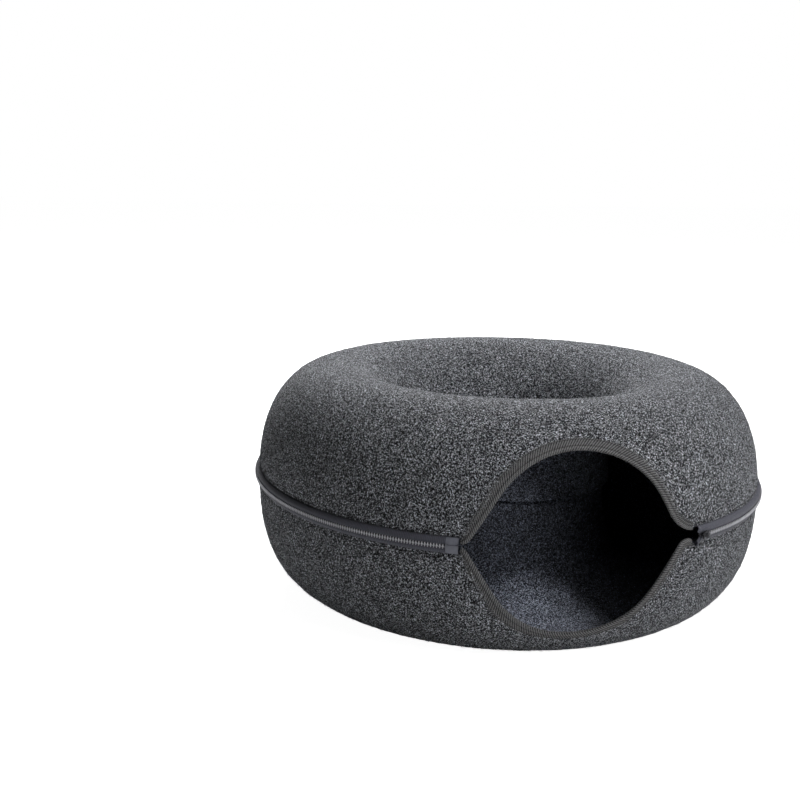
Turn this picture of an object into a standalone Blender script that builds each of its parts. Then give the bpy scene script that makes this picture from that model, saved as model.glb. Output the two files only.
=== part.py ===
"""Felt cat cave, modelled in metres with +Z up.

The cave is a hollow ring of stiff felt that a cat walks round inside. Two moulded half
rings, one above the other, are joined round the outside by a zip. A round opening is cut
half out of each of them at the front, and its edge is bound with a folded tape. The centre
hole goes right through; there the upper half's skirt laps over the lower half's wall.

Every piece is one closed section carried round the ring. A place on the felt is given by
its azimuth (0 at the opening, towards +X), its distance along the felt from the zip line
(positive above the line), and its lift out of the felt's outer surface.
"""
import math

import bmesh
import bpy
import numpy as np
from mathutils import Matrix, Vector

# Ring
OUTER_RADIUS = 0.300       # felt at the zip line
HOLE_RADIUS = 0.1174       # waist of the centre hole
HEIGHT = 0.2620
MIDDLE_HEIGHT = 0.1311     # widest level of the ring's section
UPPER_FULLNESS = 2.21      # superellipse exponents of the section: 2 is an ellipse
LOWER_FULLNESS = 2.56
SETTLE = 0.0008            # the underside is flattened by this much where it rests
RING_AXIS_Y = -0.0084      # the hole's axis; the origin is the middle of the bounding box
FELT = 0.0045
UNEVEN_FROM = 0.030        # the surface is even below this height, so that the foot is flat

# Zip round the outside
ZIP_HEIGHT = 0.1345
FELT_EDGE = 0.0090         # felt's cut edge, from the zip line
TAPE = 0.0010
COIL_HALF_WIDTH = 0.0025
COIL_HALF_THICKNESS = 0.0011
COIL_LIFT = 0.0043
ZIP_LEFT_END = -0.1218     # ends of the zip, as arc along the outside from the opening's middle
ZIP_RIGHT_END = 0.1302
COIL_RIGHT_END = 0.1385    # the slider stops here, a little short of the opening
FELT_LEFT_CORNER = -0.1210  # the opening's cut edges run into the zip's cut edges here
FELT_RIGHT_CORNER = 0.1296

# Opening at the front
BINDING = 0.0011
BINDING_END_WIDTH = 0.0080       # on each face of the felt, at the corners
BINDING_WIDENING = 0.0200        # the binding gets its full width within this much of its edge
BINDING_GAP = 0.0005
FOLD = 0.0023                    # from the felt's cut edge to the outside of the fold
LEFT_END_FACING = math.radians(76)   # directions of the binding's cut ends
RIGHT_END_FACING = math.radians(85)

# Felt edges at the centre hole
UPPER_SKIRT_END = 0.1290   # height of its raw edge
LOWER_WALL_END = 0.1520
SKIRT_STEP = 0.0055        # the skirt stands this far behind the lower half's wall
SKIRT_STEP_TOP = 0.1880    # heights between which the step is made
SKIRT_STEP_FOOT = 0.1560
FOOT_HALF_WIDTH = 0.0180   # flat ring that the cave rests on

# Slider, in its own axes: along the zip, across it, out of it
SLIDER_ARC = 0.1400
SLIDER_LENGTH = 0.0105
SLIDER_WIDTH = 0.0086
SLIDER_PLATE = 0.0012
SLIDER_OUTER_LIFT = 0.0066
SLIDER_INNER_LIFT = 0.0014
SLIDER_POST = 0.0018
SLIDER_BACK_WIDTH = 0.0077
SLIDER_LUG = (0.0052, 0.0024, 0.0012)
SLIDER_OVERLAP = 0.0003    # the lug is sunk this far into its plate

# Fineness
RING_STEP = math.radians(7.2)
PROFILE_SAMPLES = 1441
PROFILE_TURN = math.radians(215)
EDGE_ROWS = (0.0, 0.0070, 0.0145, 0.0270, 0.0410)
FAR_ROWS = 10
SKIRT_ROWS = 3
FOOT_ROWS = 6
WALL_ROWS = 6
WALL_END_LEVELS = (0.115, 0.134, LOWER_WALL_END)
FILLET_ROWS = 4            # along the opening: each fillet, each straight stretch, round part
STRAIGHT_ROWS = 4
ROUND_ROWS = 14
FOLD_ROWS = 4
COIL_SIDES = 8
MITRE_LIMIT = 2            # a strip's corner is drawn out to this many times its thickness
SHARP_EDGE = math.radians(40)

RING_RADIUS = (OUTER_RADIUS + HOLE_RADIUS) / 2
SECTION_HALF_WIDTH = (OUTER_RADIUS - HOLE_RADIUS) / 2

# Each half of the opening's edge: the round part's radius and how far its middle is shifted
# along the zip line, and the binding's width on each face of the felt
HALVES = {
    "upper": {"sign": 1, "radius": 0.0978, "shift": 0.0000, "width": 0.0130},
    "lower": {"sign": -1, "radius": 0.0964, "shift": -0.0030, "width": 0.0110},
}

# How each side of the edge comes down to its corner: a straight stretch, then a fillet
CORNERS = {
    # lean of the straight stretch, fillet radius, corner's arc from the middle, its height
    ("upper", "left"): (math.radians(31.6), 0.0150, 0.1188, 0.0012),
    ("upper", "right"): (math.radians(27.4), 0.0420, 0.1260, 0.0052),
    ("lower", "left"): (math.radians(32.4), 0.0150, 0.1188, 0.0012),
    ("lower", "right"): (math.radians(34.9), 0.0140, 0.1260, 0.0038),
}

# Slow waves that the hand-moulded felt has in its surface
WAVES = (
    # height, times round the ring, its phase, turns per metre of felt, its phase
    (0.0010, 2, 0.8, 11, 0.3),
    (0.0005, 5, -1.1, 17, -0.9),
)

# Centre line of a zip tape, from the coil to its sewn edge behind the felt
TAPE_PATH = (
    # from zip line, lift
    (0.0029, 0.0042),
    (0.0053, 0.0031),
    (0.0073, 0.0013),
    (0.0080, -0.0008),
    (0.0079, -0.0046),
    (0.0089, -0.0057),
    (0.0170, -0.0057),
)

# sRGB colour, roughness, metallic
FINISHES = {
    "felt": ((0.31, 0.32, 0.34), 0.95, 0.0),
    "binding_tape": ((0.36, 0.355, 0.345), 0.85, 0.0),
    "zip_tape": ((0.32, 0.32, 0.37), 0.7, 0.0),
    "zip_coil": ((0.45, 0.45, 0.50), 0.45, 0.0),
    "slider_metal": ((0.16, 0.16, 0.17), 0.35, 0.9),
}


def clear_scene():
    for old in list(bpy.data.objects):
        bpy.data.objects.remove(old, do_unlink=True)


def section_profile():
    """The ring's section: arc length from the zip line, radius, height and normal."""
    turn = np.linspace(-PROFILE_TURN, PROFILE_TURN, PROFILE_SAMPLES)
    across, up = np.cos(turn), np.sin(turn)
    power = np.where(up > 0, UPPER_FULLNESS, LOWER_FULLNESS)
    rise = np.where(up > 0, HEIGHT - MIDDLE_HEIGHT, MIDDLE_HEIGHT + SETTLE)
    reach = (np.abs(across) ** power + np.abs(up) ** power) ** (-1 / power)
    radius = RING_RADIUS + SECTION_HALF_WIDTH * reach * across
    height = np.maximum(MIDDLE_HEIGHT + rise * reach * up, 0.0)
    slope_r = np.gradient(radius)
    slope_z = np.gradient(height)
    length = np.hypot(slope_r, slope_z)
    steps = np.hypot(np.diff(radius), np.diff(height))
    arc = np.concatenate(([0.0], np.cumsum(steps)))
    front = np.abs(turn) < math.pi / 2
    arc = arc - np.interp(ZIP_HEIGHT, height[front], arc[front])
    return arc, radius, height, slope_z / length, -slope_r / length


ARC, RADIUS, LEVEL, NORMAL_R, NORMAL_Z = section_profile()


def smooth_step(value):
    value = min(max(value, 0.0), 1.0)
    return value * value * (3 - 2 * value)


def unevenness(azimuth, arc, level):
    rise = 0.0
    for height, times, ring_phase, turns, felt_phase in WAVES:
        rise += height * math.sin(times * azimuth + ring_phase) * math.cos(turns * arc + felt_phase)
    return rise * smooth_step((level - UNEVEN_FROM) / UNEVEN_FROM)


def place(azimuth, arc, lift):
    """Point at a lift out of the felt's outer surface."""
    level = float(np.interp(arc, ARC, LEVEL))
    out = lift + unevenness(azimuth, arc, level)
    radius = float(np.interp(arc, ARC, RADIUS)) + out * float(np.interp(arc, ARC, NORMAL_R))
    height = level + out * float(np.interp(arc, ARC, NORMAL_Z))
    return Vector((radius * math.sin(azimuth), -radius * math.cos(azimuth), height))


def arc_at_hole(height, above):
    """Arc length at which the wall of the centre hole has a given height."""
    inner = ARC > ARC[np.argmax(LEVEL)] if above else ARC < ARC[np.argmin(LEVEL)]
    order = np.argsort(LEVEL[inner])
    return float(np.interp(height, LEVEL[inner][order], ARC[inner][order]))


def loft(name, sections, closed, finish):
    """Body from equal sections joined in order: a full ring, or a strip with flat ends."""
    shape = bmesh.new()
    rings = [[shape.verts.new(point) for point in section] for section in sections]
    pairs = list(zip(rings, rings[1:]))
    if closed:
        pairs.append((rings[-1], rings[0]))
    for ring, following in pairs:
        for index, corner in enumerate(ring):
            after = (index + 1) % len(ring)
            shape.faces.new((corner, ring[after], following[after], following[index]))
    ends = [] if closed else [rings[0], rings[-1]]
    for ring in ends:
        for near in range(len(ring) // 2 - 1):
            far = len(ring) - 1 - near
            shape.faces.new((ring[near], ring[near + 1], ring[far - 1], ring[far]))
    bmesh.ops.recalc_face_normals(shape, faces=shape.faces)
    return finish_mesh(name, shape, finish)


def finish_mesh(name, shape, finish):
    mesh = bpy.data.meshes.new(name)
    shape.to_mesh(mesh)
    shape.free()
    mesh.shade_smooth()
    mesh.set_sharp_from_angle(angle=SHARP_EDGE)
    mesh.materials.append(material(finish))
    body = bpy.data.objects.new(name, mesh)
    bpy.context.collection.objects.link(body)
    return body


def linear(part):
    """Linear value of one part of an sRGB colour."""
    return ((part + 0.055) / 1.055) ** 2.4


def material(finish):
    found = bpy.data.materials.get(finish)
    if found:
        return found
    colour, roughness, metallic = FINISHES[finish]
    made = bpy.data.materials.new(finish)
    made.use_nodes = True
    shader = made.node_tree.nodes["Principled BSDF"]
    shader.inputs["Base Color"].default_value = (*map(linear, colour), 1.0)
    shader.inputs["Roughness"].default_value = roughness
    shader.inputs["Metallic"].default_value = metallic
    return made


def corner_rows(radius, shift, corner, end_facing):
    """Rows of the edge from a corner to the round part, as they are on the right side."""
    lean, fillet, end_arc, end_height = corner
    upright = Vector((math.cos(lean), math.sin(lean)))
    end = Vector((end_arc - shift, end_height))
    last = lean + math.acos(1 + (radius - end.dot(upright)) / fillet)
    centre = end + fillet * Vector((math.cos(last), math.sin(last)))
    rows = []
    for step in range(FILLET_ROWS + 1):
        share = 1 - step / FILLET_ROWS
        turn = lean + (last - lean) * share
        point = centre - fillet * Vector((math.cos(turn), math.sin(turn)))
        facing = lean + (end_facing - lean) * share
        rows.append((point, Vector((math.cos(facing), math.sin(facing)))))
    start = rows[-1][0]
    for step in range(1, STRAIGHT_ROWS):
        rows.append((start.lerp(radius * upright, step / STRAIGHT_ROWS), upright))
    return rows


def opening_outline(half_name):
    """Outside of the binding's fold, from the left corner to the right one.

    Each row is (arc along the zip line, height from it, direction into the felt).
    """
    radius, shift = HALVES[half_name]["radius"], HALVES[half_name]["shift"]
    left, right = CORNERS[half_name, "left"], CORNERS[half_name, "right"]
    mirror = Vector((-1.0, 1.0))
    rows = [(point * mirror, ray * mirror)
            for point, ray in corner_rows(radius, -shift, left, LEFT_END_FACING)]
    for step in range(ROUND_ROWS + 1):
        facing = math.pi - left[0] + (right[0] - math.pi + left[0]) * step / ROUND_ROWS
        ray = Vector((math.cos(facing), math.sin(facing)))
        rows.append((radius * ray, ray))
    rows += corner_rows(radius, shift, right, RIGHT_END_FACING)[::-1]
    return [(point + Vector((shift, 0.0)), ray) for point, ray in rows]


def ring_azimuths(first_arc=FELT_RIGHT_CORNER, last_arc=FELT_LEFT_CORNER):
    """Even steps round the back, from right of the opening to left of it.

    Other ends than the felt's corners replace or drop steps, and the rest keep their places.
    """
    first = FELT_RIGHT_CORNER / OUTER_RADIUS
    last = 2 * math.pi + FELT_LEFT_CORNER / OUTER_RADIUS
    count = math.ceil((last - first) / RING_STEP)
    even = [first + (last - first) * step / count for step in range(1, count)]
    start = first_arc / OUTER_RADIUS
    end = 2 * math.pi + last_arc / OUTER_RADIUS
    return [start] + [azimuth for azimuth in even if start < azimuth < end] + [end]


def felt_edge_stations(half_name):
    """(azimuth, distance of the cut edge from the zip line) for each section of a shell."""
    stations = []
    for point, ray in opening_outline(half_name):
        cut = point + FOLD * ray
        stations.append((cut.x / OUTER_RADIUS, cut.y))
    for azimuth in ring_azimuths():
        stations.append((azimuth, FELT_EDGE))
    return stations


def skirt_step(arc):
    """How far the upper half is set back towards the tunnel, near its raw edge."""
    level = float(np.interp(arc, ARC, LEVEL))
    past_crown = arc > ARC[np.argmax(LEVEL)]
    if not past_crown:
        return 0.0
    return SKIRT_STEP * smooth_step((SKIRT_STEP_TOP - level) / (SKIRT_STEP_TOP - SKIRT_STEP_FOOT))


def foot_arcs():
    """Arc lengths of the foot ring's outer and inner edges, below the zip line."""
    under = (ARC < 0) & (LEVEL < UNEVEN_FROM)
    order = np.argsort(RADIUS[under])
    edges = (RING_RADIUS + FOOT_HALF_WIDTH, RING_RADIUS - FOOT_HALF_WIDTH)
    return [float(np.interp(edge, RADIUS[under][order], ARC[under][order])) for edge in edges]


def upper_shell():
    step_top = arc_at_hole(SKIRT_STEP_TOP, above=True)
    skirt_levels = np.linspace(SKIRT_STEP_TOP, SKIRT_STEP_FOOT, SKIRT_ROWS)[1:]
    skirt_rows = [arc_at_hole(level, above=True) for level in (*skirt_levels, UPPER_SKIRT_END)]
    sections = []
    for azimuth, edge in felt_edge_stations("upper"):
        rows = [edge + row for row in EDGE_ROWS]
        rows += list(np.linspace(rows[-1], step_top, FAR_ROWS + 1))[1:] + skirt_rows
        outside = [place(azimuth, row, -skirt_step(row)) for row in rows]
        inside = [place(azimuth, row, -skirt_step(row) - FELT) for row in rows]
        sections.append(outside + inside[::-1])
    return loft("upper_shell", sections, True, "felt")


def lower_shell():
    wall_rows = [arc_at_hole(level, above=False) for level in WALL_END_LEVELS]
    foot_outer, foot_inner = foot_arcs()
    sections = []
    for azimuth, edge in felt_edge_stations("lower"):
        rows = [-edge - row for row in EDGE_ROWS]
        rows += list(np.linspace(rows[-1], foot_outer, FOOT_ROWS + 1))[1:]
        rows += list(np.linspace(foot_inner, wall_rows[0], WALL_ROWS))[:-1] + wall_rows
        outside = [place(azimuth, row, 0.0) for row in rows]
        inside = [place(azimuth, row, -FELT) for row in rows]
        sections.append(outside + inside[::-1])
    return loft("lower_shell", sections, True, "felt")


def thicken(path, thickness):
    """Closed outline of a strip's section, from its centre line."""
    points = [Vector(point) for point in path]
    left, right = [], []
    for index, point in enumerate(points):
        before = points[max(index - 1, 0)]
        after = points[min(index + 1, len(points) - 1)]
        first = (point - before).normalized() if index else (after - point).normalized()
        second = (after - point).normalized() if index < len(points) - 1 else first
        across = Vector((-(first + second).y, (first + second).x)).normalized()
        stretch = 1 / max(across.dot(Vector((-first.y, first.x))), 1 / MITRE_LIMIT)
        left.append(point + across * stretch * thickness / 2)
        right.append(point - across * stretch * thickness / 2)
    return left + right[::-1]


def binding_section(width):
    """Folded tape round the felt's cut edge: (distance into the felt, lift)."""
    leg = BINDING_GAP + BINDING / 2
    depth = FOLD - BINDING / 2
    path = [(width - FOLD, leg), (0.0, leg)]
    for step in range(1, FOLD_ROWS):
        turn = math.pi * step / FOLD_ROWS
        lift = (FELT / 2 + leg) * math.cos(turn) - FELT / 2
        path.append((-depth * math.sin(turn), lift))
    path += [(0.0, -FELT - leg), (width - FOLD, -FELT - leg)]
    return thicken(path, BINDING)


def binding(half_name):
    half = HALVES[half_name]
    outline = opening_outline(half_name)
    first, last = outline[0][0], outline[-1][0]
    sections = []
    for point, ray in outline:
        from_end = min((point - first).length, (point - last).length)
        share = smooth_step(from_end / BINDING_WIDENING)
        ring = []
        width = BINDING_END_WIDTH + (half["width"] - BINDING_END_WIDTH) * share
        for into, lift in binding_section(width):
            spot = point + (FOLD + into) * ray
            ring.append(place(spot.x / OUTER_RADIUS, half["sign"] * spot.y, lift))
        sections.append(ring)
    return loft(half_name + "_binding", sections, False, "binding_tape")


def zip_tape(half_name):
    sign = HALVES[half_name]["sign"]
    outline = thicken(TAPE_PATH, TAPE)
    sections = []
    for azimuth in ring_azimuths(ZIP_RIGHT_END, ZIP_LEFT_END):
        sections.append([place(azimuth, sign * away, lift) for away, lift in outline])
    return loft(half_name + "_zip_tape", sections, False, "zip_tape")


def zip_coil():
    corners = []
    for side in range(COIL_SIDES):
        turn = 2 * math.pi * (side + 0.5) / COIL_SIDES
        corners.append((COIL_HALF_WIDTH * math.cos(turn),
                        COIL_LIFT + COIL_HALF_THICKNESS * math.sin(turn)))
    sections = []
    for azimuth in ring_azimuths(COIL_RIGHT_END, ZIP_LEFT_END):
        sections.append([place(azimuth, away, lift) for away, lift in corners])
    return loft("zip_coil", sections, False, "zip_coil")


def rounded_block(name, size, centre, finish):
    shape = bmesh.new()
    bmesh.ops.create_cube(shape, size=1.0)
    bmesh.ops.scale(shape, vec=Vector(size), verts=shape.verts)
    bmesh.ops.translate(shape, vec=Vector(centre), verts=shape.verts)
    upright = [edge for edge in shape.edges
               if abs((edge.verts[0].co - edge.verts[1].co).z) > size[2] / 2]
    corner = min(size[:2]) / 4
    bmesh.ops.bevel(shape, geom=upright, offset=corner, segments=2, affect="EDGES")
    return finish_mesh(name, shape, finish)


def zip_slider():
    """Two plates held by a post, astride the zip where its two sides part."""
    lug_lift = SLIDER_OUTER_LIFT + (SLIDER_PLATE + SLIDER_LUG[2]) / 2 - SLIDER_OVERLAP
    post_height = SLIDER_OUTER_LIFT - SLIDER_INNER_LIFT
    slider = rounded_block("zip_slider", (SLIDER_LENGTH, SLIDER_WIDTH, SLIDER_PLATE),
                           (0.0, 0.0, SLIDER_OUTER_LIFT), "slider_metal")
    parts = (
        ("slider_back", (SLIDER_LENGTH, SLIDER_BACK_WIDTH, SLIDER_PLATE),
         (0.0, 0.0, SLIDER_INNER_LIFT)),
        ("slider_post", (SLIDER_POST, SLIDER_POST, post_height),
         (-SLIDER_LENGTH / 2 + SLIDER_POST, 0.0, SLIDER_INNER_LIFT + post_height / 2)),
        ("slider_lug", SLIDER_LUG, (0.0, 0.0, lug_lift)),
    )
    for name, size, centre in parts:
        join = slider.modifiers.new(name, "BOOLEAN")
        join.operation = "UNION"
        join.solver = "EXACT"
        join.object = rounded_block(name, size, centre, "slider_metal")
        join.object.hide_render = True
        join.object.display_type = "WIRE"
    azimuth = SLIDER_ARC / OUTER_RADIUS
    along = Vector((math.cos(azimuth), math.sin(azimuth), 0.0))
    out = Vector((math.sin(azimuth), -math.cos(azimuth), 0.0))
    turned = Matrix((along, Vector((0.0, 0.0, 1.0)), out)).transposed().to_4x4()
    seat = Matrix.Translation(place(azimuth, 0.0, 0.0)) @ turned
    for body in [slider] + [join.object for join in slider.modifiers]:
        body.matrix_world = seat
    return [slider] + [join.object for join in slider.modifiers]


def main():
    clear_scene()
    axis = bpy.data.objects.new("ring_axis", None)
    bpy.context.collection.objects.link(axis)
    axis.location.y = RING_AXIS_Y
    bodies = [upper_shell(), lower_shell(), binding("upper"), binding("lower"),
              zip_tape("upper"), zip_tape("lower"), zip_coil()]
    for body in bodies + zip_slider():
        body.parent = axis


main()
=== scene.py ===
"""Felt cat cave: how it looks, built round the packed model, in metres with +Z up.

The cave is a hollow ring of stiff charcoal felt in two zipped halves, with a bound round
opening at the front. Every piece lies on the ring's section. A place on the felt is given
by its azimuth (0 at the opening, towards +X), its arc along the felt from the zip line
(positive above it) and its lift out of the felt's outer surface.
"""
import math

import bmesh
import bpy
import numpy as np
from bpy.props import FloatProperty, FloatVectorProperty, IntProperty, PointerProperty
from mathutils import Matrix, Vector, noise


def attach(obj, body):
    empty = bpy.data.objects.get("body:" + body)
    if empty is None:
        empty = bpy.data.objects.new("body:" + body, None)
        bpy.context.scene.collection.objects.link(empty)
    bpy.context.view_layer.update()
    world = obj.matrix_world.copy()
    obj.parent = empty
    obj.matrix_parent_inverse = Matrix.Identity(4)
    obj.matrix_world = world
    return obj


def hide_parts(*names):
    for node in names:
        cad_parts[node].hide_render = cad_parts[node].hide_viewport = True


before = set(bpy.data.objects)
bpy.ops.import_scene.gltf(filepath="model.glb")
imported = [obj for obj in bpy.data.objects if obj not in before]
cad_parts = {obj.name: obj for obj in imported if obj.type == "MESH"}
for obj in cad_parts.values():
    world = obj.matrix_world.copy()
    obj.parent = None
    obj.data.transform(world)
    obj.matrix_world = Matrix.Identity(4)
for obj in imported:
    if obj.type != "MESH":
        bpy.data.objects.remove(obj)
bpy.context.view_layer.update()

bl_info = {
    "name": "Felt Cat Cave",
    "version": (1, 0, 0),
    "blender": (4, 5, 0),
    "location": "3D View > Sidebar > Cat Cave",
    "description": "Builds a ring-shaped felt cat cave with its zip, binding, fibres and stage",
    "category": "Object",
}

MM = 0.001
WHITE = (1.0, 1.0, 1.0, 1.0)
HALVES = {"upper": 1, "lower": -1}   # which way each half goes from the zip line

# Section of the ring, as fine as the pieces need
PROFILE_SAMPLES = 1441
PROFILE_TURN = math.radians(215)

# Slow waves that the hand-moulded felt has in its surface
WAVES = (
    # height, times round the ring, its phase, turns per metre of felt, its phase
    (0.0010, 2, 0.8, 11, 0.3),
    (0.0005, 5, -1.1, 17, -0.9),
)

# Small lumps in the felt's faces
LUMPS = (
    # height, width
    (0.00030, 0.030),
    (0.00016, 0.011),
)

# Width of the binding tape, by distance along the edge from the left corner, in millimetres
BINDING_WIDTHS = {
    "upper": ((0, 17, 50, 100, 200, 260, 290, 325), (5, 9.6, 12.6, 13, 13, 12, 10, 9)),
    "lower": ((0, 16, 40, 80, 140, 225, 325), (4.5, 8, 12.6, 12.8, 9, 8.8, 9)),
}

# Zip tape's centre line, from under the coil to its sewn edge behind the felt
TAPE_PATH = (
    # from zip line, lift
    (0.0002, 0.0025),
    (0.0017, 0.0026),
    (0.0031, 0.0036),
    (0.0053, 0.0031),
    (0.0073, 0.0013),
    (0.0080, -0.0008),
    (0.0079, -0.0046),
    (0.0089, -0.0057),
    (0.0170, -0.0057),
)

# Rows of points across the felt from its cut edge, in millimetres: at the zip, past the
# binding's leg with the share of the leg before it, and on the inner face
ROWS_AT_ZIP = (0.0, 0.45, 1.2, 2.1, 3.1, 4.2, 6.0, 9.0, 13.0, 18.5, 26.0)
ROWS_PAST_LEG = (0.0, 0.0, 0.0, -0.3, 0.2, 0.7, 1.3, 2.2, 4.0, 8.0, 15.0)
LEG_SHARES = (0.0, 0.35, 0.7) + 8 * (1.0,)
ROWS_INSIDE = (0.0, 3.0, 7.0, 11.0, 15.0, 20.0)
FAR_ROWS_OUTSIDE, FAR_ROWS_INSIDE = 24, 13
EDGE_STEP = 0.0019               # between the rows' ends along the opening
STATIONS_A_STITCH = 3

SKIRT_CURL, CURL_REACH = 0.0018, 0.012    # the skirt's raw edge stands off the wall behind
SEAM_DEPTH, SEAM_WIDTH = 0.00025, 0.0014  # groove that the seam at the zip draws in the felt
STITCH_PULL = 0.00060                     # and how much deeper it is at each stitch
LIP_DROP, LIP_REACH = 0.00035, 0.0016     # the cut edges are rounded over

RIB_HEIGHT = 0.00020             # of the binding's twill
USUAL_REACH = 0.0107             # of the binding's legs, where its outline is drawn
THREAD_SIDES = 6
COIL_SIDES, COIL_TURN_POINTS = 5, 12
COIL_PAST_MIDDLE = 0.0006        # each side's turns reach this far over the zip line
COIL_PHASES = {1: -0.19, -1: 0.5}   # of the upper and lower side's turns, in turns

# Plates of melted nylon over the zip's left end
END_FILMS = (
    # name, height of the top and foot from the zip line, their lifts, corner radius
    ("zip_end_film_upper", 0.0086, 0.0024, 0.0012, 0.0052, 0.0030),
    ("zip_end_film_lower", 0.0019, -0.0066, 0.0060, 0.0040, 0.0022),
)

# Ways that the felt's fibres lie: tilt and heading in radians
FIBRE_DIRECTIONS = ((0.0, 0.0), (1.57, 0.3), (1.57, 1.35), (1.57, 2.4), (0.8, 0.9), (0.8, 3.0),
                    (0.85, 5.1))


def hex_colour(code):
    """Linear red, green and blue of an sRGB hex colour."""
    parts = [int(code[place:place + 2], 16) / 255 for place in (1, 3, 5)]
    return tuple(part / 12.92 if part <= 0.04045 else ((part + 0.055) / 1.055) ** 2.4
                 for part in parts)


def length(name, default, description):
    return FloatProperty(name=name, default=default, description=description,
                         unit="LENGTH", subtype="DISTANCE", precision=4)


def number(name, default, description):
    return FloatProperty(name=name, default=default, description=description, precision=3)


def turn(name, degrees, description):
    return FloatProperty(name=name, default=math.radians(degrees), description=description,
                         subtype="ANGLE", unit="ROTATION")


def colour(name, code, description):
    return FloatVectorProperty(name=name, default=hex_colour(code), description=description,
                               subtype="COLOR", size=3, min=0.0, max=1.0)


class CaveRing(bpy.types.PropertyGroup):
    """Sizes of the felt ring."""

    outer_radius: length("Outer radius", 0.300, "Felt at the zip line")
    hole_radius: length("Hole radius", 0.1174, "Waist of the centre hole")
    height: length("Height", 0.2620, "From the floor to the crown")
    middle_height: length("Middle height", 0.1311, "Widest level of the section")
    upper_fullness: number("Upper fullness", 2.21, "Exponent of the section above its middle")
    lower_fullness: number("Lower fullness", 2.56, "Exponent of the section below its middle")
    settle: length("Settle", 0.0008, "How far the underside is flattened where it rests")
    axis_y: length("Axis place", -0.0084, "Where the hole's axis stands along Y")
    felt: length("Felt", 0.0045, "Thickness of the felt")
    even_below: length("Even below", 0.030, "The foot is flat below this height")
    zip_height: length("Zip height", 0.1345, "Level of the zip line")
    skirt_end: length("Skirt end", 0.1290, "Raw edge of the upper half in the hole")
    wall_end: length("Wall end", 0.1520, "Raw edge of the lower half in the hole")
    skirt_step: length("Skirt step", 0.0055, "How far the skirt stands behind the wall")
    step_top: length("Step top", 0.1880, "Height at which the step starts")
    step_foot: length("Step foot", 0.1560, "Height at which the step ends")


def edge_fields(radius, shift, **corners):
    """Fields of one edge; each corner is its lean, fillet, arc along the zip line and height."""
    fields = {
        "radius": length("Radius", radius, "Round part of the edge"),
        "shift": length("Shift", shift, "Middle of the round part, along the zip line"),
    }
    for side, (lean, fillet, arc, height) in corners.items():
        name = side.capitalize()
        fields[side + "_lean"] = turn(name + " lean", lean, "Lean of the straight stretch")
        fields[side + "_fillet"] = length(name + " fillet", fillet, "Turn into the corner")
        fields[side + "_arc"] = length(name + " arc", arc, "From the middle to the corner")
        fields[side + "_height"] = length(name + " height", height, "From the zip line")
    return fields


class CaveUpperEdge(bpy.types.PropertyGroup):
    """Sizes of the opening's upper edge."""

    __annotations__ = edge_fields(0.0978, 0.0000, left=(31.6, 0.0150, 0.1188, 0.0012),
                                  right=(27.4, 0.0420, 0.1260, 0.0052))


class CaveLowerEdge(bpy.types.PropertyGroup):
    """Sizes of the opening's lower edge."""

    __annotations__ = edge_fields(0.0964, -0.0030, left=(32.4, 0.0150, 0.1188, 0.0012),
                                  right=(34.9, 0.0140, 0.1260, 0.0038))


class CaveOpening(bpy.types.PropertyGroup):
    """Sizes of the binding round the opening."""

    left_facing: turn("Left facing", 62, "Direction of the binding's end at the left corner")
    right_facing: turn("Right facing", 85, "Direction of the binding's end at the right corner")
    binding: length("Binding", 0.0008, "Thickness of the binding tape")
    fold: length("Fold", 0.0023, "From the felt's cut edge to the outside of the fold")
    outer_leg: length("Outer leg", -0.0003, "Middle of the tape on the felt's outer face")
    inner_leg: length("Inner leg", -0.00325, "Middle of the tape on the felt's inner face")
    press_out: length("Outer press", 0.00075, "How far the tape presses the outer face down")
    press_in: length("Inner press", 0.0017, "How far the tape presses the inner face up")
    rib: length("Rib", 0.0028, "Pitch of the tape's twill ribs, half as much again as real")
    slant: number("Slant", 0.75, "How far the ribs run along the tape for each step across it")
    stitch: length("Stitch", 0.0037, "Pitch of the stitches that hold the binding")
    stitch_edge: length("Stitch edge", 0.0012, "From the tape's outer edge to the stitches")


class CaveZip(bpy.types.PropertyGroup):
    """Sizes of the zip."""

    felt_edge: length("Felt edge", 0.0090, "Felt's cut edge, from the zip line")
    left_end: length("Left end", -0.1218, "Arc from the opening's middle to the left end")
    right_end: length("Right end", 0.1302, "Arc from the opening's middle to the tapes' end")
    coil_end: length("Coil end", 0.1385, "Arc from the opening's middle to the last tooth")
    left_corner: length("Left corner", -0.1210, "Where the opening's edge meets the zip's")
    right_corner: length("Right corner", 0.1296, "Where the opening's edge meets the zip's")
    tape: length("Tape", 0.0010, "Thickness of the zip tape")
    tooth: length("Tooth", 0.0030, "Pitch of the coil's turns, twice the real one")
    coil_half_width: length("Coil half width", 0.0025, "From the zip line to the coil's side")
    coil_lift: length("Coil lift", 0.0043, "Coil's middle above the felt")
    coil_half_height: length("Coil half height", 0.0011, "Half of the coil's thickness")
    wire: length("Wire", 0.00052, "Radius of the nylon thread that the coil is wound from")
    stitch: length("Stitch", 0.0047, "Pitch of the stitches that hold the tapes")
    stitch_edge: length("Stitch edge", 0.0026, "From the felt's cut edge to the stitches")
    parting: length("Parting", 0.0032, "How far the tapes' ends stand off the zip line")
    slider_place: length("Slider place", 0.1400, "Arc from the opening's middle")


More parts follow.
